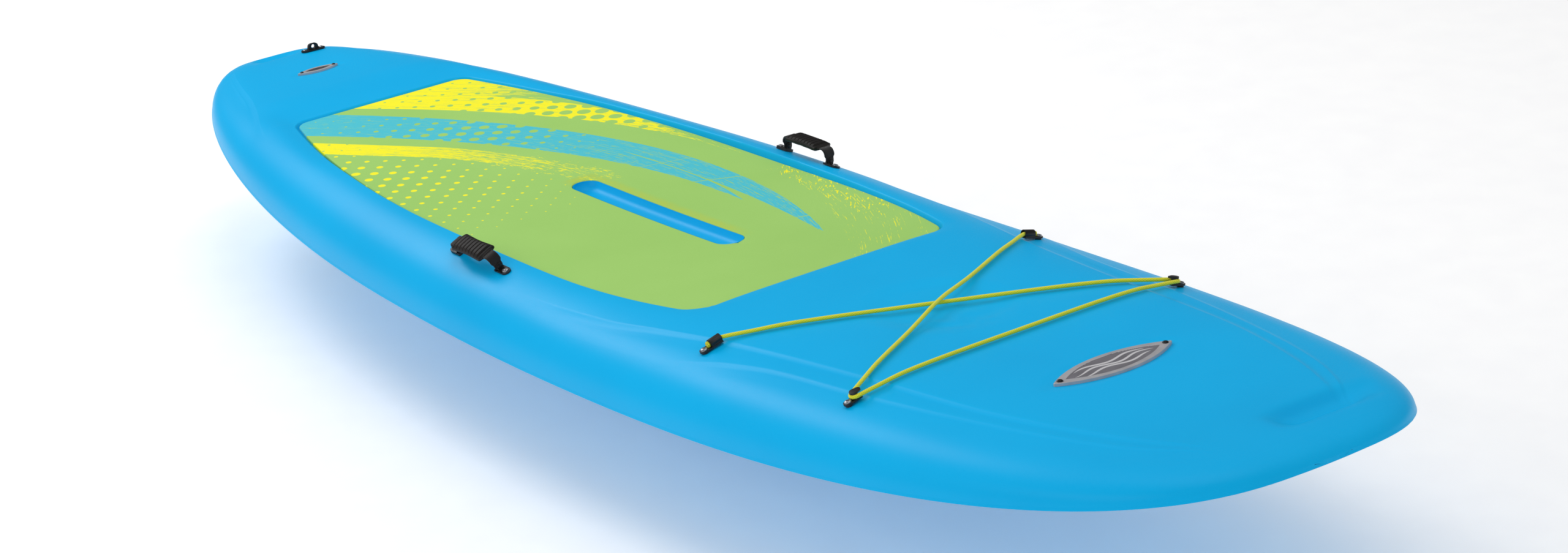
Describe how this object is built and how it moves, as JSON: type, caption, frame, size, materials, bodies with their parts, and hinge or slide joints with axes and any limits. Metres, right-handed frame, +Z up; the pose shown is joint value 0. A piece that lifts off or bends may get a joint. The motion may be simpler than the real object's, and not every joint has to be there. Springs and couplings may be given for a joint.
{
  "type": "stand up paddleboard",
  "caption": "Rigid two-shell stand up paddleboard with a recessed foam deck pad, swinging side carry handles, crossed bow bungee, leash eye and sliding tail fin.",
  "frame": {"origin": "on the centreline at mid-length, on the flat of the hull bottom (z = 0)", "axes": "+X towards the bow, +Y to port, +Z up from the hull bottom to the deck"},
  "size_m": [2.8495, 0.8, 0.3322],
  "materials": {
    "shell_plastic": "satin, fine pebble grain",
    "core_foam": "bead foam",
    "pad_foam": "fine-grained foam, printed",
    "grip_rubber": "matt, ribbed",
    "webbing": "woven",
    "fitting_plastic": "moulded, satin",
    "stainless": "bright",
    "insert_rubber": "matt",
    "cord": "braided",
    "badge_metal": "brushed rim, grey field",
    "rivet_black": "satin",
    "fin_plastic": "moulded"
  },
  "bodies": {
    "board": {"deck_shell": "shell_plastic", "hull_shell": "shell_plastic", "foam_core": "core_foam", "deck_pad": "pad_foam", "handle_feet": "fitting_plastic", "handle_pivot_pins": "stainless", "handle_screws": "stainless", "handle_inserts": "insert_rubber", "bungee_cord": "cord", "cord_end_knots": "cord", "bungee_anchor_left": "fitting_plastic", "bungee_anchor_right": "fitting_plastic", "bungee_hook_left": "fitting_plastic", "bungee_hook_right": "fitting_plastic", "bungee_screws": "stainless", "bungee_inserts": "insert_rubber", "bow_badge": "badge_metal", "stern_badge": "badge_metal", "badge_rivets": "rivet_black", "leash_eyelet": "fitting_plastic", "leash_screws": "stainless", "fin_box": "fitting_plastic"},
    "handle_left": {"handle_grip_left": "grip_rubber", "handle_strap_left": "webbing"},
    "handle_right": {"handle_grip_right": "grip_rubber", "handle_strap_right": "webbing"},
    "fin_assembly": {"fin": "fin_plastic", "fin_roll_pin": "stainless", "fin_screw": "stainless", "fin_nut_plate": "stainless"}
  },
  "joints": [
    {"name": "handle_left_swing", "type": "hinge", "parent": "board", "child": "handle_left", "pos_m": [-0.155, 0.322, 0.12846], "axis": [1, 0, 0], "range_deg": [-80, 40]},
    {"name": "handle_right_swing", "type": "hinge", "parent": "board", "child": "handle_right", "pos_m": [-0.155, -0.322, 0.12846], "axis": [1, 0, 0], "range_deg": [-66, 54]},
    {"name": "fin_slide", "type": "slide", "parent": "board", "child": "fin_assembly", "axis": [0.994, 0, -0.109], "range_m": [-0.035, 0.04]}
  ]
}
